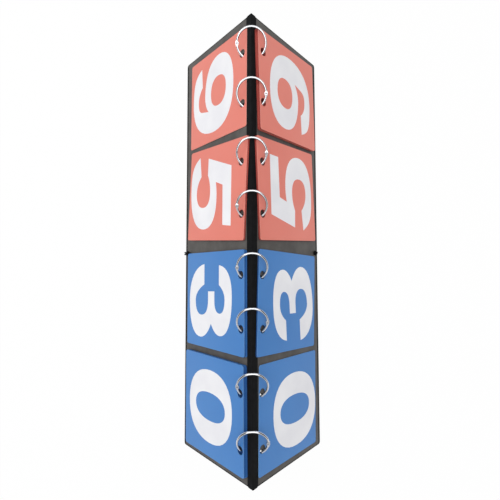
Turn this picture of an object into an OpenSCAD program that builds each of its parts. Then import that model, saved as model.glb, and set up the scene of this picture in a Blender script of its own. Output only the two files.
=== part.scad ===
// Tabletop flip scoreboard: two covered boards stand as a tent and carry numeral leaves on rings.
// X runs along the ridge, the front board faces -Y, and the boards stand on z = 0.
// A point on a board is given by x, by its distance down the slope from the ridge, and by its
// height above the board's outer face.

/* [Boards] */
// Length of the boards along the ridge
board_l = 390; // [386:1:420]
// Length of each board down its slope
board_s = 103; // [102:0.5:108]
// Thickness of a covered board with its lining
board_t = 2.5; // [2.4:0.05:2.6]
// Thickness of the lining paper
lining_t = 0.3; // [0.2:0.05:0.5]
// Width of the covering that shows round the lining
lining_margin = 12; // [8:1:16]
// Angle between each open board and the upright
half_angle = 41; // [40.5:0.1:41.5]
// Radius of the boards' outer corners
board_corner_r = 2.5; // [1:0.5:6]
// Height of the flat that each lower edge stands on
foot_cut = 0.3; // [0.2:0.05:0.5]
// Diameter of the holes that the rings pass through
board_hole_d = 5.6; // [5.5:0.1:6]

/* [Spine] */
// Width of each wing of the spine strip
spine_wing = 6.2; // [5:0.1:6.3]
// Thickness of the spine strip
spine_t = 0.25; // [0.15:0.05:0.25]

/* [Leaves] */
// Distance between the middles of neighbouring positions
position_pitch = 96; // [94:0.5:98]
// Length of a leaf along the ridge
leaf_l = 88; // [84:0.5:90]
// Length of a leaf down the slope
leaf_s = 87.5; // [80:0.5:91]
// Distance from the ridge to the upper edge of a leaf
leaf_top = 5.9; // [5.7:0.1:6]
// Thickness of a leaf
leaf_t = 0.3; // [0.2:0.02:0.32]
// Distance from one leaf to the next in a stack
leaf_pitch = 0.34; // [0.33:0.01:0.35]
// Height of the lowest leaf above the board
leaf_lift = 0.3; // [0.28:0.01:0.34]
// Radius of the leaves' corners
leaf_corner_r = 2; // [1:0.5:5]
// Diameter of the holes in the leaves
leaf_hole_d = 7; // [6.9:0.1:7.2]

/* [Rings] */
// Distance between the two rings of a position
ring_spacing = 44.6; // [40:0.2:50]
// Radius to the middle of the ring wire
ring_r = 12.4; // [12.3:0.05:12.5]
// Diameter of the ring wire
wire_d = 1.9; // [1.8:0.05:1.95]
// Lean of the rings from upright
ring_lean = 64; // [63.5:0.1:64.5]
// Depth of a ring's centre below the ridge
ring_drop = 4.1; // [4.05:0.01:4.15]
// Diameter of the hinge rivet
rivet_d = 1; // [0.8:0.05:1.1]

/* [Cord] */
// Diameter of the cord that limits the spread
cord_d = 1.8; // [1.4:0.1:2]
// Distance from the ridge to the cord's holes
cord_s = 97.5; // [96:0.5:98]
// Distance of the cord's holes from the middle of the boards
cord_x = 5.5; // [3:0.5:6]

/* [Hidden] */
$fn = 64;

positions = [0, 1, 2, 3];
// How the leaves of each position hang: along the ridge, down the slope, and turned in degrees
front_lay = [[0, -0.3, 0.8], [-1.2, -0.3, 4], [1.5, 1.3, 0], [-0.1, 1.3, -0.2]];
back_lay = [[2, 0.3, 2.1], [-0.9, 0.1, 3.2], [2.7, -0.2, -2.3], [0.8, 1.1, -0.9]];
front_leaves = [1, 5, 7, 10];          // shows 9, 5, 3 and 0
leaf_count = 11;
red = [0.86, 0.47, 0.43];
blue = [0.34, 0.56, 0.79];
board_grey = [0.4, 0.39, 0.37];

apex_h = board_s * cos(half_angle) + (board_t - lining_t) * sin(half_angle) - foot_cut;
fold_gap = 0.2;
board_top = board_t / tan(half_angle) + fold_gap;

ring_middle = -5.6;  // x of a pair of rings from the middle of its position
leaf_hole = [6.5, 11.5];  // x from the ring's centre and distance down the slope
board_hole = [9.4, 10.7];
cord_hole_d = cord_d + 0.8;
cord_sides = 8;
// Half of the cord as y and z, from the outer face of a board to near the middle of the tent
cord_route = [[63.95, 5.28], [62.05, 3.65], [61.2, 2.95], [60.1, 2.4], [58.6, 2.2],
    [54, 2.2], [49, 2.2], [44, 2.2], [39, 2.2], [34, 2.2], [29, 2.2], [24, 2.2],
    [19, 2.2], [14, 2.2], [9, 2.2], [3, 2.2]];
knot_r = 1.9;
knot_lift = 1.4;
tail_lean = 65;      // of a knot's tail from upright on the board
front_tail = 3.4;
back_tail = 1.6;

hinge_half = 1.8;    // from the rivet to the end of the wire on either side
hinge_grip = 1;      // how far a hinge plate runs on along its wire
hinge_strap = 1.6;
cheek_r = 1.5;
cheek_in = 0.42;     // height of a fork cheek's inner face above the ring's plane
cheek_out = 0.92;
tongue_r = 1.4;
tongue_t = 0.7;
lap_arc = 6;         // half of the snap's lap, in degrees of the ring
lap_gap = 0.03;
lap_end_gap = 0.4;
hinge_arc = asin(hinge_half / ring_r);
rivet_head_d = 1.9;
rivet_head_t = 0.25;
rivet_press = 0.02;  // the rivet's hole in the cheeks is this much wider
rivet_run = 0.1;     // and in the tongue, which turns on it
hinge_sides = [-1, 1, 1, -1, -1, 1, -1, 1];  // the side of the ridge that each ring's rivet is on

function position_x(k) = (k - 1.5) * position_pitch + 0.5;
function ring_x(i) = position_x(floor(i / 2)) + ring_middle + (i % 2 - 0.5) * ring_spacing;
function leaf_colour(k) = k < 2 ? red : blue;
function back_leaves(k) = leaf_count - front_leaves[k];

// Places a shape drawn as x, distance down the slope and height above the board
module on_board(side) {
    translate([0, 0, apex_h])
        mirror([0, side < 0 ? 1 : 0, 0])
            rotate([half_angle - 90, 0, 0])
                children();
}

// Places a shape drawn in a ring's own plane, where -X leans up over the ridge
module on_ring(i) {
    translate([ring_x(i), 0, apex_h - ring_drop])
        rotate([0, 90 - ring_lean, 0])
            mirror([0, hinge_sides[i] > 0 ? 1 : 0, 0])
                children();
}

module rounded_rectangle(l, w, r) {
    square([l - 2 * r, w], center = true);
    square([l, w - 2 * r], center = true);
    for (x = [-1, 1], y = [-1, 1])
        translate([x * (l / 2 - r), y * (w / 2 - r)])
            circle(r);
}

module board_holes() {
    for (i = [0:7])
        translate([ring_x(i) + board_hole[0], board_hole[1]])
            circle(d = board_hole_d);
    translate([cord_x, cord_s])
        circle(d = cord_hole_d);
}

// A board is square at the fold and rounded at its lower corners
module board_outline() {
    length = board_s - board_top;
    translate([0, board_top + length / 2])
        rounded_rectangle(board_l, length, board_corner_r);
    translate([-board_l / 2, board_top])
        square([board_l, length / 2]);
}

module foot_flat() {
    translate([-board_l, -board_s, -board_t])
        cube([2 * board_l, 2 * board_s, board_t]);
}

module board(side) {
    color(board_grey)
        difference() {
            on_board(side)
                translate([0, 0, -board_t + lining_t])
                    linear_extrude(board_t - lining_t)
                        difference() {
                            board_outline();
                            board_holes();
                        }
            foot_flat();
        }
}

// The lining stops short of the board's edges, so the covering shows round it
module lining(side) {
    top = board_top + lining_margin / 4;
    length = board_s - lining_margin - top;
    color([0.2, 0.2, 0.21])
        on_board(side)
            translate([0, 0, -board_t])
                linear_extrude(lining_t)
                    difference() {
                        translate([0, top + length / 2])
                            square([board_l - 2 * lining_margin, length], center = true);
                        board_holes();
                    }
}

// The strip lies on both boards and rounds the ridge
module spine_strip() {
    down = [sin(half_angle), -cos(half_angle)];
    round_step = (90 - half_angle) / 4;
    back = [spine_wing * down, spine_wing * down + spine_t * [cos(half_angle), sin(half_angle)]];
    ridge = [for (a = [half_angle:round_step:180 - half_angle]) spine_t * [cos(a), sin(a)]];
    front = [for (p = [back[1], back[0]]) [-p[0], p[1]]];
    color([0.13, 0.13, 0.14])
        translate([0, 0, apex_h])
            rotate([90, 0, 90])
                linear_extrude(board_l, center = true)
                    polygon(concat([[0, 0]], back, ridge, front));
}

module leaf_outline(side, k) {
    lay = side < 0 ? front_lay[k] : back_lay[k];
    difference() {
        translate([position_x(k) + lay[0], leaf_top + lay[1] + leaf_s / 2])
            rotate(lay[2])
                rounded_rectangle(leaf_l, leaf_s, leaf_corner_r);
        for (i = [2 * k, 2 * k + 1])
            translate([ring_x(i) + leaf_hole[0], leaf_hole[1]])
                circle(d = leaf_hole_d);
    }
}

// Leaves are counted from the board outwards, starting at 1
module leaves(side, k, first, last) {
    color(leaf_colour(k))
        for (n = [first:last])
            on_board(side)
                translate([0, 0, leaf_lift + (n - 1) * leaf_pitch])
                    linear_extrude(leaf_t)
                        leaf_outline(side, k);
}

module front_leaf(k) {
    leaves(-1, k, front_leaves[k], front_leaves[k]);
}

module back_leaf(k) {
    leaves(1, k, back_leaves(k), back_leaves(k));
}

module front_stack(k) {
    leaves(-1, k, 1, front_leaves[k] - 1);
}

module back_stack(k) {
    leaves(1, k, 1, back_leaves(k) - 1);
}

// An arc of wire from one angle to another, in the ring's plane, with 0 at its lowest point
module wire_arc(from, to) {
    rotate(from)
        rotate_extrude(angle = to - from)
            translate([ring_r, 0])
                circle(d = wire_d, $fn = 32);
}

// What the snap's lap leaves out of the wire, on one side of the ring's plane
module lap_cut(from, to, above) {
    rotate(from)
        rotate_extrude(angle = to - from)
            translate([ring_r - wire_d, above ? -lap_gap : lap_gap - wire_d])
                square([2 * wire_d, wire_d]);
}

// A flat plate round the rivet that runs on into the wire, down for the base and up for the top
module hinge_plate(r, low, high, way, hole_d) {
    translate([0, -ring_r, low])
        difference() {
            union() {
                cylinder(r = r, h = high - low);
                translate([way > 0 ? 0 : -hinge_half - hinge_grip, -hinge_strap / 2, 0])
                    cube([hinge_half + hinge_grip, hinge_strap, high - low]);
            }
            translate([0, 0, -1])
                cylinder(d = hole_d, h = high - low + 2);
        }
}

module ring_base(i) {
    color([0.8, 0.81, 0.83])
        on_ring(i) {
            difference() {
                wire_arc(hinge_arc - 90, 90 + lap_arc - lap_end_gap);
                lap_cut(90 - lap_arc, 90 + 2 * lap_arc, true);
            }
            hinge_plate(cheek_r, cheek_in, cheek_out, 1, rivet_d + rivet_press);
            hinge_plate(cheek_r, -cheek_out, -cheek_in, 1, rivet_d + rivet_press);
        }
}

module ring_top(i) {
    color([0.8, 0.81, 0.83])
        on_ring(i) {
            difference() {
                wire_arc(90 - lap_arc + lap_end_gap, 270 - hinge_arc);
                lap_cut(90 - 2 * lap_arc, 90 + lap_arc, false);
            }
            hinge_plate(tongue_r, -tongue_t / 2, tongue_t / 2, -1, rivet_d + rivet_run);
        }
}

module ring_rivets() {
    color([0.7, 0.71, 0.73])
        for (i = [0:7])
            on_ring(i)
                translate([0, -ring_r, -cheek_out]) {
                    cylinder(d = rivet_d, h = 2 * cheek_out);
                    translate([0, 0, -rivet_head_t])
                        cylinder(d = rivet_head_d, h = rivet_head_t);
                    translate([0, 0, 2 * cheek_out])
                        cylinder(d = rivet_head_d, h = rivet_head_t);
                }
}

// A tube swept along points in the YZ plane, with its ends square to the route
module swept_cord(route, d, sides) {
    last = len(route) - 1;
    function way(i) = route[min(i + 1, last)] - route[max(i - 1, 0)];
    function across(i) = [-way(i)[1], way(i)[0]] / norm(way(i));
    rings = [for (i = [0:last], j = [0:sides - 1])
        let (a = 360 * j / sides)
            [d / 2 * cos(a),
             route[i][0] + d / 2 * sin(a) * across(i)[0],
             route[i][1] + d / 2 * sin(a) * across(i)[1]]];
    walls = [for (i = [0:last - 1], j = [0:sides - 1])
        let (a = i * sides + j, b = i * sides + (j + 1) % sides)
            each [[a, b, b + sides], [a, b + sides, a + sides]]];
    ends = [[for (j = [0:sides - 1]) sides - 1 - j],
            [for (j = [0:sides - 1]) last * sides + j]];
    polyhedron(rings, concat(walls, ends));
}

module spread_cord() {
    inside = [for (i = [0:len(cord_route) - 1]) [-cord_route[i][0], cord_route[i][1]]];
    outside = [for (i = [len(cord_route) - 1:-1:0]) cord_route[i]];
    color([0.08, 0.08, 0.09])
        translate([cord_x, 0, 0])
            swept_cord(concat(inside, outside), cord_d, cord_sides);
}

// A knot lies on the outer face, and its tail points out past the board's lower edge
module cord_knot(side, tail) {
    color([0.06, 0.06, 0.07])
        difference() {
            on_board(side)
                translate([cord_x, cord_s, knot_lift]) {
                    sphere(r = knot_r);
                    rotate([-tail_lean, 0, 0]) {
                        cylinder(d = cord_d, h = tail);
                        translate([0, 0, tail])
                            sphere(d = cord_d);
                    }
                }
            on_board(side)
                translate([cord_x - knot_r, cord_s - knot_r, -knot_r])
                    cube([2 * knot_r, 2 * knot_r, knot_r]);
        }
}

board(-1);  // front_board
board(1);  // back_board
lining(-1);  // front_lining
lining(1);  // back_lining
spine_strip();
front_leaf(0);  // front_leaf_1
front_leaf(1);  // front_leaf_2
front_leaf(2);  // front_leaf_3
front_leaf(3);  // front_leaf_4
back_leaf(0);  // back_leaf_1
back_leaf(1);  // back_leaf_2
back_leaf(2);  // back_leaf_3
back_leaf(3);  // back_leaf_4
front_stack(1);  // front_stack_2
front_stack(2);  // front_stack_3
front_stack(3);  // front_stack_4
back_stack(0);  // back_stack_1
back_stack(1);  // back_stack_2
back_stack(2);  // back_stack_3
ring_base(0);  // ring_base_1
ring_base(1);  // ring_base_2
ring_base(2);  // ring_base_3
ring_base(3);  // ring_base_4
ring_base(4);  // ring_base_5
ring_base(5);  // ring_base_6
ring_base(6);  // ring_base_7
ring_base(7);  // ring_base_8
ring_top(0);  // ring_top_1
ring_top(1);  // ring_top_2
ring_top(2);  // ring_top_3
ring_top(3);  // ring_top_4
ring_top(4);  // ring_top_5
ring_top(5);  // ring_top_6
ring_top(6);  // ring_top_7
ring_top(7);  // ring_top_8
ring_rivets();
spread_cord();
cord_knot(-1, front_tail);  // front_cord_knot
cord_knot(1, back_tail);  // back_cord_knot
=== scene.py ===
import math
import random

import bmesh
import bpy
from mathutils import Matrix, Vector


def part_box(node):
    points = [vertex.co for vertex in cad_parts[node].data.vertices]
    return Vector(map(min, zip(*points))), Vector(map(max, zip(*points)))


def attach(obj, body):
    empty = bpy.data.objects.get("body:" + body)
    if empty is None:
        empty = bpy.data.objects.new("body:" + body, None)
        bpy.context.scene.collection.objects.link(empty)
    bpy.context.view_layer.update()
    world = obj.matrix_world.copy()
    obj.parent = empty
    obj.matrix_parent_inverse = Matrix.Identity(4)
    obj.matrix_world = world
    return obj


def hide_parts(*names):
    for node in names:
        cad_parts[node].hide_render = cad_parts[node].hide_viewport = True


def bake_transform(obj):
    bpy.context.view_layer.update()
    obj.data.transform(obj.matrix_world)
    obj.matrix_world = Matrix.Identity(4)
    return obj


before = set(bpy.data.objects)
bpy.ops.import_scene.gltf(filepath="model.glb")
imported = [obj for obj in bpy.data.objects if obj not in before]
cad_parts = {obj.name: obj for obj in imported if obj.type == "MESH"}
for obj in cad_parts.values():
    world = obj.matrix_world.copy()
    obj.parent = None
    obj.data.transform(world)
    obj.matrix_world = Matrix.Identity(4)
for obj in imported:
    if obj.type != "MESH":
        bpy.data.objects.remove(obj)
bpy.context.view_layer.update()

scene = bpy.context.scene
mm = 0.001
tiny = 0.001 * mm  # closer than this, two points are one

tent = {
    "halfAngle": 41,      # degrees between each board and the upright
    "spineThickness": 0.25,
    "pitch": 96,          # between the middles of neighbouring positions
    "middle": 0.5,        # x of the middle of the row
    "ringMiddle": -5.6,   # x of a pair of rings from the middle of its position
    "ringSpacing": 44.6,
    "holeAcross": 6.5,    # x of a leaf's hole from its ring
    "boardHoleAcross": 9.4,
}
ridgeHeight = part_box("spine_strip")[1][2] - tent["spineThickness"] * mm
sides = {"front": -1, "back": 1}


# What lies on a board is drawn flat, with x to the reader's right, y up the slope to the ridge at 0
# and z off the board. This stands it up on its side of the tent
def onBoard(side):
    lean = Matrix.Rotation(math.radians(90 - tent["halfAngle"]), 4, "X")
    turn = Matrix.Rotation(math.radians(180 if side == "back" else 0), 4, "Z")
    return Matrix.Translation((0, 0, ridgeHeight)) @ turn @ lean


def positionX(k):
    return (k - 1.5) * tent["pitch"] + tent["middle"]


def ringX(i):
    return positionX(i // 2) + tent["ringMiddle"] + (i % 2 - 0.5) * tent["ringSpacing"]


# Camera
camera = {
    "x": 25.7,
    "y": -1.94,
    "height": 292.63,     # above the ridge
    "lens": 25.92,
    "sensor": 36,
    "turn": (0.06457, -0.00071, -0.00309),  # off straight down: an axis as long as its angle
}


def makeCamera():
    data = bpy.data.cameras.new("camera")
    data.sensor_width = camera["sensor"]
    data.lens = camera["lens"]
    data.clip_start = 0.01
    piece = bpy.data.objects.new("camera", data)
    scene.collection.objects.link(piece)
    turn = Vector(camera["turn"])
    look = Matrix.Rotation(math.pi / 2, 4, "Z") @ Matrix.Rotation(turn.length, 4, turn)
    place = Vector((camera["x"], camera["y"], camera["height"])) * mm + Vector((0, 0, ridgeHeight))
    piece.matrix_world = Matrix.Translation(place) @ look
    scene.camera = piece


makeCamera()
print("camera placed")


def hexColour(text):
    values = [int(text[i:i + 2], 16) / 255 for i in (1, 3, 5)]
    linear = [v / 12.92 if v <= 0.04045 else ((v + 0.055) / 1.055) ** 2.4 for v in values]
    return (*linear, 1)


# Adds one shader node, with its settings by name or input number, and its links
def addNode(tree, kind, settings=None, links=None):
    made = tree.nodes.new("ShaderNode" + kind)
    for key, value in (settings or {}).items():
        if isinstance(key, str) and hasattr(made, key):
            setattr(made, key, value)
        else:
            made.inputs[key].default_value = value
    for key, source in (links or {}).items():
        tree.links.new(source, made.inputs[key])
    return made


def newMaterial(name, settings):
    made = bpy.data.materials.new(name)
    made.use_nodes = True
    tree = made.node_tree
    tree.nodes.clear()
    shader = addNode(tree, "BsdfPrincipled", settings)
    addNode(tree, "OutputMaterial", links={"Surface": shader.outputs["BSDF"]})
    made.diffuse_color = shader.inputs["Base Color"].default_value
    return made, tree, shader


def patternScale(size):
    return 1 / (size * mm)


# Colours a material from one hex colour to another, as a pattern's value goes from low to high
def colourByPattern(tree, shader, value, reach, colours):
    ramp = addNode(tree, "ValToRGB", links={"Fac": value})
    for stop, place, colour in zip(ramp.color_ramp.elements, reach, colours):
        stop.position = place
        stop.color = hexColour(colour)
    tree.links.new(ramp.outputs["Color"], shader.inputs["Base Color"])


# Leatherette paper: an embossed leather grain breaks up its gloss, over a faint mottle
def leatherettePaper(name, dark, light, gloss=0.5):
    grain = {"size": 0.9, "fine": 0.25, "fineShare": 0.35, "mottle": 14, "height": 0.05,
             "rough": (0.42, 0.6)}
    made, tree, shader = newMaterial(name, {
        "Base Color": hexColour(light), "IOR": 1.45, "Specular IOR Level": gloss})
    place = addNode(tree, "TexCoord").outputs["Object"]
    mottle = addNode(tree, "TexNoise", {
        "Scale": patternScale(grain["mottle"]), "Detail": 5, "Roughness": 0.62}, {"Vector": place})
    colourByPattern(tree, shader, mottle.outputs["Fac"], (0.3, 0.7), (dark, light))
    cells = addNode(tree, "TexVoronoi", {
        "feature": "SMOOTH_F1", "Scale": patternScale(grain["size"])}, {"Vector": place})
    fine = addNode(tree, "TexNoise", {"Scale": patternScale(grain["fine"]), "Detail": 3},
                   {"Vector": place})
    rough = addNode(tree, "MapRange", {"To Min": grain["rough"][0], "To Max": grain["rough"][1]},
                    {"Value": fine.outputs["Fac"]})
    tree.links.new(rough.outputs[0], shader.inputs["Roughness"])
    height = addNode(tree, "Math", {"operation": "MULTIPLY_ADD", 1: grain["fineShare"]},
                     {0: fine.outputs["Fac"], 2: cells.outputs["Distance"]})
    bump = addNode(tree, "Bump", {"Strength": 0.5, "Distance": grain["height"] * mm},
                   {"Height": height.outputs[0]})
    tree.links.new(bump.outputs["Normal"], shader.inputs["Normal"])
    return made


# Black buckram for the hinge: dull, with a plain weave drawn at 0.6 mm so that it shows
def buckramCloth():
    weave = {"thread": 0.6, "height": 0.07, "fuzz": 4}
    made, tree, shader = newMaterial("blackBuckram", {
        "Base Color": hexColour("#0E0F10"), "Roughness": 0.8, "Specular IOR Level": 0.12, "IOR": 1.45,
        "Sheen Weight": 0.03, "Sheen Roughness": 0.5})
    place = addNode(tree, "TexCoord").outputs["Object"]
    axes = addNode(tree, "SeparateXYZ", links={0: place})
    waves = []
    for axis in ("X", "Y"):
        turn = addNode(tree, "Math", {"operation": "MULTIPLY", 1: math.pi / (weave["thread"] * mm)},
                       {0: axes.outputs[axis]})
        waves.append(addNode(tree, "Math", {"operation": "SINE"}, {0: turn.outputs[0]}))
    cross = addNode(tree, "Math", {"operation": "MULTIPLY"},
                    {0: waves[0].outputs[0], 1: waves[1].outputs[0]})
    fuzz = addNode(tree, "TexNoise", {"Scale": patternScale(weave["fuzz"]), "Detail": 6},
                   {"Vector": place})
    colourByPattern(tree, shader, fuzz.outputs["Fac"], (0.3, 0.75), ("#0B0C0D", "#151618"))
    bump = addNode(tree, "Bump", {"Strength": 0.6, "Distance": weave["height"] * mm},
                   {"Height": cross.outputs[0]})
    tree.links.new(bump.outputs["Normal"], shader.inputs["Normal"])
    return made


# Soft PVC sheet, calendered: even colour, slightly wavy gloss and a fine matt grain
def vinylSheet(name, colour, deep):
    sheet = {"wave": 42, "waveHeight": 0.25, "grain": 0.5, "grainHeight": 0.008, "tone": 60,
             "rough": (0.36, 0.48)}
    made, tree, shader = newMaterial(name, {
        "Base Color": hexColour(colour), "IOR": 1.5, "Subsurface Weight": 0.15,
        "Subsurface Radius": (0.002, 0.001, 0.001), "Subsurface Scale": 0.5})
    place = addNode(tree, "TexCoord").outputs["Object"]
    tone = addNode(tree, "TexNoise", {"Scale": patternScale(sheet["tone"]), "Detail": 2},
                   {"Vector": place})
    colourByPattern(tree, shader, tone.outputs["Fac"], (0.25, 0.75), (deep, colour))
    grain = addNode(tree, "TexNoise", {"Scale": patternScale(sheet["grain"]), "Detail": 2},
                    {"Vector": place})
    rough = addNode(tree, "MapRange", {"To Min": sheet["rough"][0], "To Max": sheet["rough"][1]},
                    {"Value": grain.outputs["Fac"]})
    tree.links.new(rough.outputs[0], shader.inputs["Roughness"])
    wave = addNode(tree, "TexNoise", {"Scale": patternScale(sheet["wave"]), "Detail": 1},
                   {"Vector": place})
    swell = addNode(tree, "Bump", {"Strength": 0.5, "Distance": sheet["waveHeight"] * mm},
                    {"Height": wave.outputs["Fac"]})
    fine = addNode(tree, "Bump", {"Strength": 0.4, "Distance": sheet["grainHeight"] * mm},
                   {"Height": grain.outputs["Fac"], "Normal": swell.outputs["Normal"]})
    tree.links.new(fine.outputs["Normal"], shader.inputs["Normal"])
    return made


# Screen-printed white ink: opaque, as glossy as the sheet, with a faint cool cast
def screenInk():
    film = {"tone": 30, "skin": 0.8, "skinHeight": 0.01}
    made, tree, shader = newMaterial("whiteScreenInk", {
        "Base Color": hexColour("#ECECF0"), "IOR": 1.5, "Roughness": 0.4})
    place = addNode(tree, "TexCoord").outputs["Object"]
    tone = addNode(tree, "TexNoise", {"Scale": patternScale(film["tone"]), "Detail": 4},
                   {"Vector": place})
    colourByPattern(tree, shader, tone.outputs["Fac"], (0.3, 0.7), ("#E6E6EB", "#F1F1F4"))
    skin = addNode(tree, "TexNoise", {"Scale": patternScale(film["skin"]), "Detail": 2},
                   {"Vector": place})
    bump = addNode(tree, "Bump", {"Strength": 0.3, "Distance": film["skinHeight"] * mm},
                   {"Height": skin.outputs["Fac"]})
    tree.links.new(bump.outputs["Normal"], shader.inputs["Normal"])
    return made


# Polished steel with a chrome plate: mirror bright, with hairline rubbing marks
def chromePlate():
    polish = {"rub": 1.2, "rubDepth": 0.01, "rough": (0.06, 0.2)}
    made, tree, shader = newMaterial("chromePlatedSteel", {
        "Base Color": hexColour("#E4E6EA"), "Metallic": 1})
    place = addNode(tree, "TexCoord").outputs["Object"]
    rub = addNode(tree, "TexNoise", {"Scale": patternScale(polish["rub"]), "Detail": 5},
                  {"Vector": place})
    rough = addNode(tree, "MapRange", {"To Min": polish["rough"][0], "To Max": polish["rough"][1]},
                    {"Value": rub.outputs["Fac"]})
    tree.links.new(rough.outputs[0], shader.inputs["Roughness"])
    bump = addNode(tree, "Bump", {"Strength": 0.15, "Distance": polish["rubDepth"] * mm},
                   {"Height": rub.outputs["Fac"]})
    tree.links.new(bump.outputs["Normal"], shader.inputs["Normal"])
    return made


# Bare rivet steel: greyer than the chrome, and brushed by the setting tool
def rivetSteel():
    brushing = {"mark": 0.3, "markDepth": 0.01}
    made, tree, shader = newMaterial("setRivetSteel", {
        "Base Color": hexColour("#B4B6BA"), "Metallic": 1, "Roughness": 0.32})
    place = addNode(tree, "TexCoord").outputs["Object"]
    marks = addNode(tree, "TexNoise", {"Scale": patternScale(brushing["mark"]), "Detail": 4},
                    {"Vector": place})
    colourByPattern(tree, shader, marks.outputs["Fac"], (0.3, 0.7), ("#9A9CA0", "#C2C4C8"))
    bump = addNode(tree, "Bump", {"Strength": 0.3, "Distance": brushing["markDepth"] * mm},
                   {"Height": marks.outputs["Fac"]})
    tree.links.new(bump.outputs["Normal"], shader.inputs["Normal"])
    return made


# Uncoated lining paper: dark and matt, with its fibres showing
def liningPaper():
    pulp = {"cloud": 20, "fibre": 0.6, "fibreHeight": 0.03}
    made, tree, shader = newMaterial("darkLiningPaper", {
        "Base Color": hexColour("#333336"), "Roughness": 0.85, "IOR": 1.45})
    place = addNode(tree, "TexCoord").outputs["Object"]
    cloud = addNode(tree, "TexNoise", {
        "Scale": patternScale(pulp["cloud"]), "Detail": 8, "Roughness": 0.7}, {"Vector": place})
    colourByPattern(tree, shader, cloud.outputs["Fac"], (0.3, 0.7), ("#2B2B2E", "#3B3B3F"))
    fibre = addNode(tree, "TexNoise", {
        "Scale": patternScale(pulp["fibre"]), "Detail": 5, "Distortion": 1.5}, {"Vector": place})
    bump = addNode(tree, "Bump", {"Strength": 0.4, "Distance": pulp["fibreHeight"] * mm},
                   {"Height": fibre.outputs["Fac"]})
    tree.links.new(bump.outputs["Normal"], shader.inputs["Normal"])
    return made


# Braided polyester cord: black, with slanted plaits a millimetre long, and painted shade in the grooves
# between them
def braidedCord():
    braid = {"plait": 1.1, "height": 0.12}
    made, tree, shader = newMaterial("blackBraidedCord", {
        "Base Color": hexColour("#101012"), "Roughness": 0.75, "Specular IOR Level": 0.2})
    place = addNode(tree, "TexCoord").outputs["Object"]
    axes = addNode(tree, "SeparateXYZ", links={0: place})
    turn = math.pi / (braid["plait"] * mm)
    slants = []
    for way in (1, -1):
        across = addNode(tree, "Math", {"operation": "MULTIPLY", 1: way * turn}, {0: axes.outputs["X"]})
        along = addNode(tree, "Math", {"operation": "MULTIPLY_ADD", 1: turn},
                        {0: axes.outputs["Y"], 2: across.outputs[0]})
        slants.append(addNode(tree, "Math", {"operation": "SINE"}, {0: along.outputs[0]}))
    plait = addNode(tree, "Math", {"operation": "MAXIMUM"},
                    {0: slants[0].outputs[0], 1: slants[1].outputs[0]})
    # Painted shade: the colour darkens where the plait pattern is low, between the strands
    colourByPattern(tree, shader, plait.outputs[0], (0.2, 0.9), ("#060607", "#151517"))
    bump = addNode(tree, "Bump", {"Strength": 0.7, "Distance": braid["height"] * mm},
                   {"Height": plait.outputs[0]})
    tree.links.new(bump.outputs["Normal"], shader.inputs["Normal"])
    return made


boardPaper = leatherettePaper("charcoalLeatherette", "#474441", "#5C5956")
blackBand = leatherettePaper("blackBoardBand", "#0A0A0B", "#141416", 0.15)
buckram = buckramCloth()
# Painted highlight: the cut edge of one sheet is coloured lighter, as if it caught the light. Painted
# shade: the cut edges of a stack are coloured darker, for the shade in the gaps between the leaves
vinyls = {
    "red": [vinylSheet("redVinyl", "#EA8576", "#E47D6E"),
            vinylSheet("redCutEdgePaintedHighlight", "#F2B4AA", "#EBA397"),
            vinylSheet("redStackEdgePaintedShade", "#A8423C", "#8F3430")],
    "blue": [vinylSheet("blueVinyl", "#4584C8", "#407EC2"),
             vinylSheet("blueCutEdgePaintedHighlight", "#93BCE8", "#7FAEDF"),
             vinylSheet("blueStackEdgePaintedShade", "#2A5695", "#1F4680")],
}
ink = screenInk()
chrome = chromePlate()
steel = rivetSteel()
paper = liningPaper()
cordBraid = braidedCord()
print("materials made")


# Turns a bmesh into a finished piece with its place in its mesh
def finishPiece(bm, name, materials, place=Matrix(), smoothUnder=0):
    bm.transform(place)
    if place.determinant() < 0:
        bmesh.ops.reverse_faces(bm, faces=bm.faces[:])
    for face in bm.faces:
        face.smooth = smoothUnder > 0
    for edge in bm.edges:
        edge.smooth = edge.calc_face_angle(0) < math.radians(smoothUnder)
    mesh = bpy.data.meshes.new(name)
    bm.to_mesh(mesh)
    bm.free()
    for material in materials:
        mesh.materials.append(material)
    piece = bpy.data.objects.new(name, mesh)
    scene.collection.objects.link(piece)
    return piece


# Gives a piece its body, and hides the solids that it stands for
def rideOn(piece, body, nodes=()):
    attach(piece, body)
    if nodes:
        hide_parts(*nodes)
    return piece


# Adds one bmesh to another and frees it
def addTo(bm, part, place=Matrix()):
    part.transform(place)
    mesh = bpy.data.meshes.new("part")
    part.to_mesh(mesh)
    part.free()
    bm.from_mesh(mesh)
    bpy.data.meshes.remove(mesh)


# The bmesh of an object as its curve or its modifiers make it. The object is removed
def takeShape(holder):
    graph = bpy.context.evaluated_depsgraph_get()
    mesh = bpy.data.meshes.new_from_object(holder.evaluated_get(graph))
    bm = bmesh.new()
    bm.from_mesh(mesh)
    bpy.data.meshes.remove(mesh)
    bpy.data.objects.remove(holder)
    return bm


# Bevels corners or edges to a round of this radius
def roundOff(bm, parts, affect, radius, steps):
    bmesh.ops.bevel(bm, geom=parts, affect=affect, offset=radius * mm, segments=steps, profile=0.5,
                    material=-1)


def roundedSheet(length, slope, radius, steps):
    bm = bmesh.new()
    bmesh.ops.create_grid(bm, x_segments=1, y_segments=1, size=0.5)
    bmesh.ops.scale(bm, vec=(length * mm, slope * mm, 1), verts=bm.verts)
    if radius:
        roundOff(bm, bm.verts[:], "VERTICES", radius, steps)
    return bm


# Gives a flat outline its thickness, downwards from where it lies
def thicken(bm, depth):
    bmesh.ops.recalc_face_normals(bm, faces=bm.faces)
    made = bmesh.ops.extrude_face_region(bm, geom=bm.faces[:])
    moved = [g for g in made["geom"] if isinstance(g, bmesh.types.BMVert)]
    bmesh.ops.translate(bm, vec=(0, 0, -depth * mm), verts=moved)
    bmesh.ops.recalc_face_normals(bm, faces=bm.faces)


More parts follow.
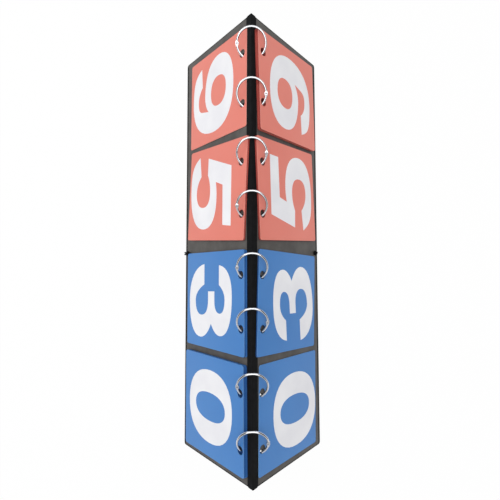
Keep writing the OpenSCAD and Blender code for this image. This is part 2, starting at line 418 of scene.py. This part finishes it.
# Cord
cord = {
    "diameter": 1.8,
    # Half of the route as y and height, from the outer face of a board to near the middle
    "route": [(63.95, 5.28), (62.05, 3.65), (61.2, 2.95), (60.1, 2.4), (58.6, 2.2),
              (54, 2.2), (49, 2.2), (44, 2.2), (39, 2.2), (34, 2.2), (29, 2.2), (24, 2.2),
              (19, 2.2), (14, 2.2), (9, 2.2), (3, 2.2)],
    "x": 5.5,
    "down": 97.5,
    "knotLift": 1.5,
    "knotRadius": 2.2,
    "knotFlat": 0.8,
    "knotSteps": 72,
    "loopReach": 2.6,     # about how far a trefoil of size 1 goes from its middle
    "loopRise": 1.6,
    "loopWire": 0.95,     # thickness of the tightened loops against the cord's
    "endWire": 0.85,      # and of its cut ends
    "tailLean": 65,
    "tailSpread": 20,
    "tail": {"front": 3.4, "back": 1.6},
    "shortEnd": {"front": 5.5, "back": 2.6},  # of the end that lies on the board, up the slope
    "shortEndSway": 0.5,
}


# Sweeps a round tube along points and closes its ends
def tube(points, radius, cuts=12, closed=False):
    curve = bpy.data.curves.new("tube", "CURVE")
    curve.dimensions = "3D"
    curve.bevel_depth = radius
    curve.bevel_resolution = cuts // 4
    curve.use_fill_caps = True
    line = curve.splines.new("POLY")
    line.points.add(len(points) - 1)
    for point, place in zip(line.points, points):
        point.co = (*place, 1)
    line.use_cyclic_u = closed
    holder = bpy.data.objects.new("tube", curve)
    scene.collection.objects.link(holder)
    bm = takeShape(holder)
    bpy.data.curves.remove(curve)
    bmesh.ops.remove_doubles(bm, verts=bm.verts, dist=radius / 50)
    bmesh.ops.recalc_face_normals(bm, faces=bm.faces)
    return bm


# A trefoil knot with three cut ends: two stand off the board, and one lies on it up the slope
def makeKnot(side):
    radius = cord["diameter"] / 2 * mm
    loop = []
    for i in range(cord["knotSteps"]):
        a = 2 * math.pi * i / cord["knotSteps"]
        loop.append(Vector((math.sin(a) + 2 * math.sin(2 * a), math.cos(a) - 2 * math.cos(2 * a),
                            -cord["loopRise"] * math.sin(3 * a))))
    spread = (cord["knotRadius"] * mm - radius * 0.6) / cord["loopReach"]
    bm = tube([p * spread for p in loop], radius * cord["loopWire"], closed=True)
    bmesh.ops.scale(bm, vec=(1, 1, cord["knotFlat"]), verts=bm.verts)
    lean = Matrix.Rotation(math.radians(cord["tailLean"]), 4, "X")
    reach = cord["tail"][side] * mm
    for way in (-1, 1):
        fan = Matrix.Rotation(math.radians(way * cord["tailSpread"]), 4, "Z")
        steps = [fan @ lean @ Vector((0, 0, reach * i / 5)) for i in range(6)]
        addTo(bm, tube(steps, radius * cord["endWire"]))
    rest = (radius - cord["knotLift"] * mm) * 0.9
    steps = [Vector((cord["shortEndSway"] * mm * math.sin(i / 2), cord["shortEnd"][side] * mm * i / 6,
                     rest * min(i, 3) / 3)) for i in range(7)]
    addTo(bm, tube(steps, radius * cord["endWire"]))
    place = Vector((-sides[side] * cord["x"], -cord["down"], cord["knotLift"])) * mm
    bmesh.ops.translate(bm, vec=place, verts=bm.verts)
    piece = finishPiece(bm, side + "_knot", [cordBraid], onBoard(side), 50)
    return rideOn(piece, side + "_board", [side + "_cord_knot"])


def makeCord():
    half = [Vector((cord["x"], y, z)) * mm for y, z in cord["route"]]
    points = [Vector((p.x, -p.y, p.z)) for p in half] + half[::-1]
    knots = [makeKnot(side) for side in sides]
    bm = tube(points, cord["diameter"] / 2 * mm, 16)
    piece = finishPiece(bm, "cord", [cordBraid], smoothUnder=60)
    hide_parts("spread_cord")
    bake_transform(piece)


makeCord()
print("cord and knots made")

# Boards
board = {
    "length": 390,
    "slope": 103,
    "thickness": 2.5,
    "lining": 0.3,
    "foldGap": 0.2,
    "corner": 2.5,
    "edgeRound": 0.45,
    "holeDown": 10.7,
    "holeDiameter": 5.6,
    "cordHole": 2.6,
    "holeSides": 40,
    "endBand": 1.2,       # how far the black band reaches in at the ends
    "lowBand": 3,         # and along the lower edge
}


def boardHoles(side):
    way = -sides[side]
    places = [(way * (ringX(i) + tent["boardHoleAcross"]), board["holeDown"], board["holeDiameter"])
              for i in range(8)]
    return places + [(way * cord["x"], cord["down"], board["cordHole"])]


# Parts the faces of a mesh along a plane, and can cut off what lies beyond it
def scoreAlong(bm, place, across, cutOff=False):
    return bmesh.ops.bisect_plane(bm, geom=bm.verts[:] + bm.edges[:] + bm.faces[:], dist=tiny,
                                  plane_co=place, plane_no=across, clear_outer=cutOff)["geom_cut"]


# A covered board with its holes and black edge bands, and its lower edge cut level with the table
def makeBoard(side):
    top = board["thickness"] / math.tan(math.radians(tent["halfAngle"])) + board["foldGap"]
    slope = board["slope"] - top
    bm = roundedSheet(board["length"], slope, 0, 0)
    roundOff(bm, [v for v in bm.verts if v.co.y < 0], "VERTICES", board["corner"], 6)
    bmesh.ops.translate(bm, vec=(0, -(top + slope / 2) * mm, 0), verts=bm.verts)
    thicken(bm, board["thickness"] - board["lining"])
    rims = [e for e in bm.edges if abs(e.verts[0].co.z - e.verts[1].co.z) < 0.1 * mm]
    roundOff(bm, rims, "EDGES", board["edgeRound"], 3)
    blank = finishPiece(bm, side + "_blank", [])
    drills = bmesh.new()
    for u, down, width in boardHoles(side):
        bmesh.ops.create_cone(drills, cap_ends=True, segments=board["holeSides"],
                              radius1=width / 2 * mm, radius2=width / 2 * mm,
                              depth=4 * board["thickness"] * mm,
                              matrix=Matrix.Translation((u * mm, -down * mm, 0)))
    drill = finishPiece(drills, side + "_drill", [])
    cut = blank.modifiers.new("holes", "BOOLEAN")
    cut.object = drill
    cut.operation = "DIFFERENCE"
    cut.solver = "EXACT"
    bm = takeShape(blank)
    bpy.data.objects.remove(drill)
    end, low = board["length"] / 2 - board["endBand"], board["slope"] - board["lowBand"]
    for x, y, across in ((end, 0, (1, 0, 0)), (-end, 0, (-1, 0, 0)), (0, -low, (0, -1, 0))):
        scoreAlong(bm, Vector((x, y, 0)) * mm, across)
    # The side faces, the hole walls and bands along the ends and the lower edge are drawn near-black
    for face in bm.faces:
        middle = face.calc_center_median() / mm
        edge = abs(middle.x) > end or middle.y < -low
        face.material_index = 1 if edge or abs(face.normal.z) < 0.9 else 0
    bm.transform(onBoard(side))
    cut = scoreAlong(bm, (0, 0, 0), (0, 0, -1), True)
    rim = [g for g in cut if isinstance(g, bmesh.types.BMEdge)]
    bmesh.ops.holes_fill(bm, edges=rim, sides=0)
    bmesh.ops.recalc_face_normals(bm, faces=bm.faces)
    piece = finishPiece(bm, side + "_cover", [boardPaper, blackBand], smoothUnder=40)
    rideOn(piece, side + "_board", [side + "_board"])


for side in sides:
    makeBoard(side)
    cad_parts[side + "_lining"].data.materials.clear()
    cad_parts[side + "_lining"].data.materials.append(paper)
print("boards made")

# Spine
spine = {
    "wing": 6.2,
    "corner": 2.2,
    "steps": 39,
    "ridgeSteps": 8,
    "wingSteps": 4,
    "bend": 2.6,          # from the ridge to where the cloth follows a board
    "cloth": 0.96,        # thickness of the cloth against the strip's
}


# The cloth's section, two wings and a round over the ridge, drawn out along the tent
def makeSpine():
    half = math.radians(tent["halfAngle"])
    thick = tent["spineThickness"] * mm
    bm = bmesh.new()
    profile = []
    for i in range(spine["wingSteps"]):
        down = spine["wing"] * mm * (1 - i / spine["wingSteps"])
        profile.append((-down * math.sin(half) - thick * math.cos(half),
                        -down * math.cos(half) + thick * math.sin(half)))
    for i in range(spine["ridgeSteps"] + 1):
        a = math.pi - half - (math.pi - 2 * half) * i / spine["ridgeSteps"]
        profile.append((thick * math.cos(a), thick * math.sin(a)))
    profile += [(-y, z) for y, z in profile[:spine["wingSteps"]][::-1]]
    start = -board["length"] / 2 * mm
    verts = [bm.verts.new((start, y, ridgeHeight + z)) for y, z in profile]
    front = [bm.edges.new(pair) for pair in zip(verts, verts[1:])]
    for i in range(spine["steps"]):
        made = bmesh.ops.extrude_edge_only(bm, edges=front)["geom"]
        front = [g for g in made if isinstance(g, bmesh.types.BMEdge)]
        moved = [g for g in made if isinstance(g, bmesh.types.BMVert)]
        bmesh.ops.translate(bm, vec=(board["length"] * mm / spine["steps"], 0, 0), verts=moved)
    corners = [v for v in bm.verts if len(v.link_edges) == 2]
    roundOff(bm, corners, "VERTICES", spine["corner"], 5)
    bmesh.ops.recalc_face_normals(bm, faces=bm.faces)
    if max(bm.faces, key=lambda f: f.calc_center_median().z).normal.z < 0:
        bmesh.ops.reverse_faces(bm, faces=bm.faces[:])
    bmesh.ops.solidify(bm, geom=bm.faces[:], thickness=thick * spine["cloth"])
    bmesh.ops.recalc_face_normals(bm, faces=bm.faces)
    piece = finishPiece(bm, "spine_cloth", [buckram], smoothUnder=60)
    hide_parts("spine_strip")
    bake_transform(piece)


makeSpine()
print("spine made")

# Numerals
numerals = {
    "size": {"1": (36, 66), "2": (66, 66), "3": (67.4, 68), "4": (68, 66), "5": (70.6, 67),
             "8": (66, 66), "9": (72, 66), "0": (63.1, 65.5)},
    "round": 0.64,        # handle length of a full curve
    "roundEnd": 0.5,      # and where it ends at a corner
    "curveSteps": 10,
    "inkOver": 0.015,     # how far the ink stands off the leaf
    "inkUnder": 0.05,     # and how far its plate goes into it
}
# Each outline is a list of x, y down, and the angle of the curve there. A corner has no angle, and
# where a curve ends at a corner, "in" or "out" says on which side of the point it is
flat, upright = 0, 90
digits = {
    "0": [[(31.5, 0, flat), (63.1, 32.5, upright), (31.5, 65.5, flat), (0, 32.5, upright)],
          [(31.9, 9.6, flat), (44.1, 32, upright), (31.9, 54.6, flat), (19.7, 32, upright)]],
    "1": [[(22, 0), (36, 0), (36, 66), (16, 66), (16, 20), (0, 20), (0, 10), (13, 8)]],
    "2": [[(0, 21), (33, 0, flat), (65, 20, upright), (48, 41, 140), (31, 54), (66, 54), (66, 66),
           (0, 66), (0, 57), (30, 36, 145), (45, 20, upright), (33, 11, flat), (19.5, 21)]],
    "3": [[(2.4, 18.9, -83, "out"), (30, 0, flat), (64.4, 17.5, upright), (54.4, 31.2),
           (67.4, 48.3, upright), (33, 68, flat), (0, 42.4, 84, "in"), (19, 42.4), (33, 57.3, flat),
           (47, 46.9, upright), (33.7, 36, flat),
           (25.4, 36), (25.4, 25.9), (33.7, 25.9, flat), (45, 17.8, upright), (32.7, 10.3, flat),
           (20, 18.9)]],
    "4": [[(36, 0), (56, 0), (56, 41), (68, 41), (68, 53), (56, 53), (56, 66), (37, 66), (37, 53),
           (0, 53), (0, 41)],
          [(37, 18), (37, 41), (16, 41)]],
    "5": [[(15.2, 0), (68.4, 0), (67.3, 12.3), (30.8, 13), (27, 24), (40.3, 22.3, flat),
           (70.6, 43.5, upright), (34.3, 67, flat), (0, 51, 64, "in"), (19.3, 48.6), (35.5, 56.7, flat),
           (49.7, 44.5, upright), (35.5, 33, flat), (19.3, 37.2), (3, 36.4)]],
    "8": [[(33, 0, flat), (62, 17, upright), (53, 31.5), (66, 47.5, upright), (33, 66, flat),
           (0, 47.5, upright), (13, 31.5), (4, 17, upright)],
          [(33, 9.6, flat), (43.5, 18.2, upright), (33, 27, flat), (22.5, 18.2, upright)],
          [(33, 37, flat), (46, 46.5, upright), (33, 56.4, flat), (20, 46.5, upright)]],
    "9": [[(4.3, 52, 66, "in"), (23.2, 49.9), (36.3, 56.3, flat), (48.6, 48, 100), (50.6, 38.3),
           (33.3, 45, flat), (0, 22.6, upright), (36, 0, flat), (72, 31.5, upright), (34, 65.9, flat)],
          [(34.3, 11.2, flat), (48.3, 23.2, upright), (34.2, 35, flat), (20, 23.4, upright)]],
}


# Gives a Bezier spline the points of an outline, with handles along each point's angle
def drawOutline(curve, outline, size):
    line = curve.splines.new("BEZIER")
    line.use_cyclic_u = True
    line.bezier_points.add(len(outline) - 1)
    places = [Vector((p[0] - size[0] / 2, size[1] / 2 - p[1], 0)) for p in outline]
    for i, (point, corner) in enumerate(zip(line.bezier_points, outline)):
        here = places[i]
        point.handle_left_type = point.handle_right_type = "FREE"
        point.co = here * mm
        point.handle_left = point.handle_right = here * mm
        if len(corner) > 2:
            a = math.radians(corner[2])
            way = Vector((math.cos(a), -math.sin(a), 0))
            before = (places[i - 1] - here).dot(way)
            after = (places[(i + 1) % len(places)] - here).dot(way)
            reach = numerals["round" if len(corner) == 3 else "roundEnd"]
            if corner[-1] != "out":
                point.handle_left = (here + way * before * reach) * mm
            if corner[-1] != "in":
                point.handle_right = (here + way * after * reach) * mm


# A numeral as a thin plate of ink, centred on the origin, with its top face up. A 6 is a turned 9
def numeralPlate(digit):
    shape = "9" if digit == "6" else digit
    curve = bpy.data.curves.new("numeral", "CURVE")
    curve.dimensions = "2D"
    curve.fill_mode = "BOTH"
    curve.resolution_u = numerals["curveSteps"]
    for outline in digits[shape]:
        drawOutline(curve, outline, numerals["size"][shape])
    holder = bpy.data.objects.new("numeral", curve)
    scene.collection.objects.link(holder)
    bm = takeShape(holder)
    bpy.data.curves.remove(curve)
    bmesh.ops.remove_doubles(bm, verts=bm.verts, dist=0.01 * mm)
    if digit == "6":
        bmesh.ops.rotate(bm, cent=(0, 0, 0), matrix=Matrix.Rotation(math.pi, 3, "Z"), verts=bm.verts)
    bmesh.ops.translate(bm, vec=(0, 0, numerals["inkOver"] * mm), verts=bm.verts)
    thicken(bm, numerals["inkOver"] + numerals["inkUnder"])
    return bm


# Leaves
leaf = {
    "length": 88,
    "slope": 87.5,
    "top": 5.9,
    "thickness": 0.3,
    "pitch": 0.34,
    "lift": 0.3,
    "corner": 2,
    "holeDown": 11.5,
    "holeDiameter": 7,
    "holeSides": 40,
    "count": 11,
    "frontCount": [1, 5, 7, 10],
    "stray": 0.2,         # how far the leaves of a stack lie off each other
    "strayTurn": 0.12,
    "numeralDown": 5.4,   # of a hidden numeral's middle below the leaf's middle
}
# How the leaves of each position hang: along the ridge, down the slope, and turned in degrees
lays = {
    "front": [(0, -0.3, 0.8), (-1.2, -0.3, 4), (1.5, 1.3, 0), (-0.1, 1.3, -0.2)],
    "back": [(2, 0.3, 2.1), (-0.9, 0.1, 3.2), (2.7, -0.2, -2.3), (0.8, 1.1, -0.9)],
}
# How far the lowest leaf of each stack lies up the slope of the outer one
fans = {"front": [0, 0.4, 1.1, 1.1], "back": [0.4, 0.3, 0.3, 0]}
# The numeral on each outer leaf: its middle to the reader's right of the position's and down the
# slope, its turn in degrees, its width and height against the outline's, and its slant
shown = {
    "front": [("9", -1.1, 56.5, -2.5, 1.01, 0.99, 0.01), ("5", -3.4, 57.7, -1.4, 1, 0.97, 0.04),
              ("3", 2.1, 56.9, -0.1, 1.01, 0.985, -0.04), ("0", 0.1, 54.7, -1.2, 1.01, 1, -0.02)],
    "back": [("9", -2.2, 53.3, -2.4, 0.98, 0.99, 0.02), ("5", 1.2, 55.5, 2, 0.99, 0.985, -0.07),
             ("3", -5.5, 57.7, 3.4, 1.02, 0.94, 0.07), ("0", -4.3, 60, 1.3, 1.03, 1.03, 0.05)],
}
shownCounts = [9, 5, 3, 0]
digitStep = {"front": 1, "back": -1}  # from the shown numeral to the one behind it


def countOn(side, k):
    front = leaf["frontCount"][k]
    return front if side == "front" else leaf["count"] - front


# A leaf's flat outline in its lay, with its holes at the rings
def leafOutline(side, k, stray):
    way = -sides[side]
    shift, drop, turn = lays[side][k]
    bm = roundedSheet(leaf["length"], leaf["slope"], leaf["corner"], 5)
    bmesh.ops.delete(bm, geom=bm.faces[:], context="FACES_ONLY")
    angle = math.radians(-way * turn + stray[2])
    bmesh.ops.rotate(bm, cent=(0, 0, 0), matrix=Matrix.Rotation(angle, 3, "Z"), verts=bm.verts)
    middle = Vector((way * (positionX(k) + shift) + stray[0],
                     -(leaf["top"] + drop + leaf["slope"] / 2) + stray[1], 0))
    bmesh.ops.translate(bm, vec=middle * mm, verts=bm.verts)
    for i in (2 * k, 2 * k + 1):
        hole = Vector((way * (ringX(i) + tent["holeAcross"]), -leaf["holeDown"], 0)) * mm
        bmesh.ops.create_circle(bm, segments=leaf["holeSides"], radius=leaf["holeDiameter"] / 2 * mm,
                                matrix=Matrix.Translation(hole))
    bmesh.ops.triangle_fill(bm, edges=bm.edges[:], use_beauty=True, normal=(0, 0, 1))
    return bm


# How far the outer face of the nth leaf lies off the board
def leafLift(n):
    return leaf["lift"] + (n - 1) * leaf["pitch"] + leaf["thickness"]


def leafSheet(side, k, n, stray=(0, 0, 0)):
    bm = leafOutline(side, k, stray)
    bmesh.ops.translate(bm, vec=(0, 0, leafLift(n) * mm), verts=bm.verts)
    thicken(bm, leaf["thickness"])
    # The cut edges take slot 1: a painted highlight on an outer leaf, painted shade in a stack
    for face in bm.faces:
        face.material_index = 0 if abs(face.normal.z) > 0.5 else 1
    return bm


def leafKind(k):
    return "red" if k < 2 else "blue"


# A numeral on the outer face, or on the face towards the board
def placeNumeral(bm, side, n, digit, across, down, turn, wide=1, high=1, slant=0, inner=False):
    lift = leafLift(n) - (leaf["thickness"] if inner else 0)
    place = Matrix.Translation(Vector((across, -down, lift)) * mm)
    place = place @ Matrix.Rotation(math.radians(turn), 4, "Z")
    place = place @ Matrix(((wide, slant * high, 0, 0), (0, high, 0, 0), (0, 0, 1, 0), (0, 0, 0, 1)))
    if inner:
        place = place @ Matrix.Rotation(math.pi, 4, "Y")
    addTo(bm, numeralPlate(digit), place)


# Where a hidden numeral sits: across, down the slope, and turned with its leaf
def leafMiddle(side, k):
    way = -sides[side]
    shift, drop, turn = lays[side][k]
    down = leaf["top"] + drop + leaf["slope"] / 2 + leaf["numeralDown"]
    return way * (positionX(k) + shift), down, -way * turn


# The outermost leaf, with its numeral and the one that its inner face shows when it is turned
def makeTurningLeaf(side, k):
    n = countOn(side, k)
    name = f"{side}_leaf_{k + 1}"
    bm = leafSheet(side, k, n)
    # Painted highlight on the cut edges: slot 1 is the lighter cut-edge vinyl
    piece = finishPiece(bm, f"{side}_sheet_{k + 1}", vinyls[leafKind(k)][:2], onBoard(side))
    rideOn(piece, name, [name])
    bm = bmesh.new()
    digit, across, *lay = shown[side][k]
    placeNumeral(bm, side, n, digit, -sides[side] * positionX(k) + across, *lay)
    behind = shownCounts[k] + digitStep[side]
    if 0 <= behind <= 9:
        placeNumeral(bm, side, n, str(behind), *leafMiddle(side, k), inner=True)
    piece = finishPiece(bm, f"{side}_numeral_{k + 1}", [ink], onBoard(side))
    rideOn(piece, name)


# The leaves under it, slightly fanned and out of line, with the numeral that comes next
def makeStack(side, k):
    last = countOn(side, k) - 1
    name = f"{side}_stack_{k + 1}"
    if not last:
        return
    dice = random.Random(10 * k + sides[side])
    bm = bmesh.new()
    for n in range(1, last + 1):
        fanned = fans[side][k] * (1 - (n - 1) / last)
        stray = (dice.uniform(-1, 1) * leaf["stray"], dice.uniform(-1, 1) * leaf["stray"] + fanned,
                 dice.uniform(-1, 1) * leaf["strayTurn"])
        addTo(bm, leafSheet(side, k, n, stray))
    finishes = vinyls[leafKind(k)]
    # Painted shade on the cut edges: slot 1 is the darker stack-edge vinyl
    piece = finishPiece(bm, f"{side}_sheets_{k + 1}", [finishes[0], finishes[2]], onBoard(side))
    rideOn(piece, side + "_board", [name])
    bm = bmesh.new()
    digit = str(shownCounts[k] + digitStep[side])
    placeNumeral(bm, side, last, digit, *leafMiddle(side, k))
    piece = finishPiece(bm, f"{side}_stack_numeral_{k + 1}", [ink], onBoard(side))
    rideOn(piece, side + "_board")


for side in sides:
    for k in range(4):
        makeTurningLeaf(side, k)
        makeStack(side, k)
print("leaves and numerals made")

# Rings
ring = {
    "radius": 12.4,
    "wire": 1.9,
    "lean": 64,
    "drop": 4.1,
    "wireSides": 20,
    "hingeHalf": 1.8,     # from the rivet to the end of the wire on either side
    "hingeGrip": 1,
    "cheekRadius": 1.5,
    "cheekIn": 0.42,
    "cheekOut": 0.92,
    "tongueRadius": 1.4,
    "tongueHalf": 0.35,
    "tabNeck": (0.4, 0.62),  # of a tab's far half, along the wire and across it
    "tabEase": 0.12,
    "lapArc": 6,
    "lapSteps": 6,
    "lapGap": 0.03,
    "lapEndGap": 0.4,
    "rivet": 1,
    "rivetHead": 1.9,
    "rivetHeadHeight": 0.25,
    "hingeSides": [-1, 1, 1, -1, -1, 1, -1, 1],
    "steps": 44,
}


# A ring is drawn flat round its middle, with its hinge at -y and its snap at y
def onRing(i):
    place = Matrix.Translation((ringX(i) * mm, 0, ridgeHeight - ring["drop"] * mm))
    place = place @ Matrix.Rotation(math.radians(90 - ring["lean"]), 4, "Y")
    if ring["hingeSides"][i] > 0:
        place = place @ Matrix.Scale(-1, 4, (0, 1, 0))
    return place


# Half a hoop of wire from the hinge to the snap, where half of its section laps the other hoop's
def hoop(start, end, lapEnd, above):
    bm = bmesh.new()
    bmesh.ops.create_circle(bm, segments=ring["wireSides"], radius=ring["wire"] / 2 * mm,
                            matrix=Matrix.Rotation(math.pi / 2, 4, "X"))
    bmesh.ops.translate(bm, vec=(ring["radius"] * mm, 0, 0), verts=bm.verts)
    turn = Matrix.Rotation(math.radians(start), 3, "Z")
    bmesh.ops.rotate(bm, cent=(0, 0, 0), matrix=turn, verts=bm.verts)
    made = bmesh.ops.spin(bm, geom=bm.edges[:], cent=(0, 0, 0), axis=(0, 0, 1),
                          angle=math.radians(end - start), steps=ring["steps"])
    lastEdges = [g for g in made["geom_last"] if isinstance(g, bmesh.types.BMEdge)]
    way = 1 if above else -1
    lapEdges = [e for e in lastEdges if way * (e.verts[0].co.z + e.verts[1].co.z) > 0]
    middle = sorted({v for e in lapEdges for v in e.verts}, key=lambda v: abs(v.co.z))[:2]
    lapEdges.append(bm.edges.new(middle))
    bmesh.ops.spin(bm, geom=lapEdges, cent=(0, 0, 0), axis=(0, 0, 1),
                   angle=math.radians(lapEnd - end), steps=ring["lapSteps"])
    # The flat of the lap is lifted off the middle, so that the two halves don't touch
    onward = 1 if lapEnd > end else -1
    for v in bm.verts:
        past = math.degrees(math.atan2(v.co.y, v.co.x)) % 360 - end % 360
        if abs(v.co.z) < tiny and past * onward > 0.3 and abs(past) < 20:
            v.co.z = way * ring["lapGap"] * mm
    bmesh.ops.holes_fill(bm, edges=[e for e in bm.edges if e.is_boundary], sides=0)
    bmesh.ops.recalc_face_normals(bm, faces=bm.faces)
    return bm


# A flat tab round the rivet that runs on along the wire, with its edges eased
def hingeTab(radius, low, high, way):
    bm = bmesh.new()
    made = bmesh.ops.create_circle(bm, cap_ends=True, segments=28, radius=radius * mm)
    far = [v for v in made["verts"] if v.co.x * way > 0.05 * mm]
    short, narrow = ring["tabNeck"]
    bmesh.ops.scale(bm, vec=(short, narrow, 1), verts=far)
    reach = ring["hingeHalf"] + ring["hingeGrip"] - radius * short
    bmesh.ops.translate(bm, vec=(way * reach * mm, 0, 0), verts=far)
    bmesh.ops.translate(bm, vec=(0, 0, high * mm), verts=bm.verts)
    thicken(bm, high - low)
    rims = [e for e in bm.edges if abs(e.verts[0].co.z - e.verts[1].co.z) < 0.01 * mm]
    roundOff(bm, rims, "EDGES", ring["tabEase"], 2)
    return bm


# The base half has two cheeks on the rivet, and the half that opens has a tongue between them
def makeRing(i):
    arc = math.degrees(math.asin(ring["hingeHalf"] / ring["radius"]))
    hinge = Matrix.Translation((0, -ring["radius"] * mm, 0))
    lap, gap = ring["lapArc"], ring["lapEndGap"]
    base = hoop(arc - 90, 90 - lap, 90 + lap - gap, False)
    addTo(base, hingeTab(ring["cheekRadius"], ring["cheekIn"], ring["cheekOut"], 1), hinge)
    addTo(base, hingeTab(ring["cheekRadius"], -ring["cheekOut"], -ring["cheekIn"], 1), hinge)
    piece = finishPiece(base, f"ring_wire_{i + 1}", [chrome], onRing(i), 45)
    rideOn(piece, "rings", [f"ring_base_{i + 1}"])
    top = hoop(270 - arc, 90 + lap, 90 - lap + gap, True)
    addTo(top, hingeTab(ring["tongueRadius"], -ring["tongueHalf"], ring["tongueHalf"], -1), hinge)
    piece = finishPiece(top, f"ring_bail_{i + 1}", [chrome], onRing(i), 45)
    rideOn(piece, f"ring_top_{i + 1}", [f"ring_top_{i + 1}"])


# One turned rivet: shank and two domed heads, spun from half of its profile
def rivetShape():
    reach, head = ring["cheekOut"], ring["rivetHeadHeight"]
    wide, shank = ring["rivetHead"] / 2, ring["rivet"] / 2
    profile = [(0, -reach - head), (wide * 0.6, -reach - head * 0.9), (wide, -reach - head * 0.3),
               (wide, -reach), (shank, -reach), (shank, reach), (wide, reach),
               (wide, reach + head * 0.3), (wide * 0.6, reach + head * 0.9), (0, reach + head)]
    bm = bmesh.new()
    verts = [bm.verts.new((x * mm, 0, z * mm)) for x, z in profile]
    edges = [bm.edges.new(pair) for pair in zip(verts, verts[1:])]
    bmesh.ops.spin(bm, geom=edges, cent=(0, 0, 0), axis=(0, 0, 1), angle=2 * math.pi, steps=24,
                   use_merge=True)
    bmesh.ops.remove_doubles(bm, verts=bm.verts, dist=tiny)
    bmesh.ops.recalc_face_normals(bm, faces=bm.faces)
    return bm


for i in range(8):
    makeRing(i)
rivets = bmesh.new()
for i in range(8):
    addTo(rivets, rivetShape(), onRing(i) @ Matrix.Translation((0, -ring["radius"] * mm, 0)))
bmesh.ops.recalc_face_normals(rivets, faces=rivets.faces)
rideOn(finishPiece(rivets, "rivets", [steel], smoothUnder=40), "rings", ["ring_rivets"])
print("rings made")

# Stage
stage = {
    "floor": 3,
    "floorGlow": 0.95,    # how much of the floor's shading is hidden from the eye
    "world": 0.58,
    "flag": 0.42,
    "flagAway": 0.5,
    "flagHeight": 0.3,
    "aim": (0, 0, 0.04),
    # Each lamp's place, side and power, in metres and watts
    "lamps": {"overhead": ((0.05, 0, 1.3), 1.2, 8), "side": ((-0.6, -1.0, 0.8), 0.8, 4)},
}


# Nearly plain white to the camera and in the chrome, and a white sweep to the light
def makeFloor():
    made = bpy.data.materials.new("whiteSweep")
    made.use_nodes = True
    tree = made.node_tree
    tree.nodes.clear()
    cloth = addNode(tree, "BsdfDiffuse", {"Color": hexColour("#F4F4F4")})
    glow = addNode(tree, "Emission", {"Color": (1, 1, 1, 1), "Strength": 1})
    rays = addNode(tree, "LightPath")
    seen = addNode(tree, "Math", {"operation": "MAXIMUM"},
                   {0: rays.outputs["Is Camera Ray"], 1: rays.outputs["Is Glossy Ray"]})
    seen = addNode(tree, "Math", {"operation": "MAXIMUM"},
                   {0: seen.outputs[0], 1: rays.outputs["Is Transmission Ray"]})
    share = addNode(tree, "Math", {"operation": "MULTIPLY", 1: stage["floorGlow"]},
                    {0: seen.outputs[0]})
    mix = addNode(tree, "MixShader",
                  links={0: share.outputs[0], 1: cloth.outputs[0], 2: glow.outputs[0]})
    addNode(tree, "OutputMaterial", links={"Surface": mix.outputs[0]})
    bm = bmesh.new()
    bmesh.ops.create_grid(bm, x_segments=1, y_segments=1, size=stage["floor"])
    finishPiece(bm, "floor", [made])


def makeLamp(name):
    place, width, power = stage["lamps"][name]
    data = bpy.data.lights.new(name, "AREA")
    data.shape = "RECTANGLE"
    data.size = data.size_y = width
    data.energy = power
    lamp = bpy.data.objects.new(name, data)
    scene.collection.objects.link(lamp)
    lamp.location = place
    lamp.rotation_euler = (Vector(stage["aim"]) - Vector(place)).to_track_quat("-Z", "Y").to_euler()


def makeWorld():
    world = bpy.data.worlds.new("softbox")
    scene.world = world
    world.use_nodes = True
    tree = world.node_tree
    tree.nodes.clear()
    rays = addNode(tree, "LightPath")
    seen = addNode(tree, "Math", {"operation": "MAXIMUM"},
                   {0: rays.outputs["Is Camera Ray"], 1: rays.outputs["Is Transmission Ray"]})
    light = addNode(tree, "Background", {"Color": (1, 1, 1, 1), "Strength": stage["world"]})
    white = addNode(tree, "Background", {"Color": (1, 1, 1, 1), "Strength": 1})
    mix = addNode(tree, "MixShader",
                  links={0: seen.outputs[0], 1: light.outputs[0], 2: white.outputs[0]})
    addNode(tree, "OutputWorld", links={"Surface": mix.outputs[0]})


# Black cards beside the object, seen only by what mirrors them, give the chrome its dark lines
def makeFlag(side):
    made = bpy.data.materials.new("blackFlag")
    made.use_nodes = True
    made.node_tree.nodes.clear()
    dull = addNode(made.node_tree, "BsdfDiffuse", {"Color": hexColour("#101010")})
    addNode(made.node_tree, "OutputMaterial", links={"Surface": dull.outputs[0]})
    bm = bmesh.new()
    bmesh.ops.create_grid(bm, x_segments=1, y_segments=1, size=stage["flag"])
    place = Matrix.Translation((0, sides[side] * stage["flagAway"], stage["flagHeight"]))
    place = place @ Matrix.Rotation(math.pi / 2, 4, "X")
    flag = finishPiece(bm, side + "_flag", [made], place)
    flag.visible_camera = flag.visible_diffuse = flag.visible_shadow = False


makeFloor()
makeWorld()
for side in sides:
    makeFlag(side)
for name in stage["lamps"]:
    makeLamp(name)
scene.view_settings.view_transform = "Standard"
print("stage made")

bpy.context.view_layer.update()
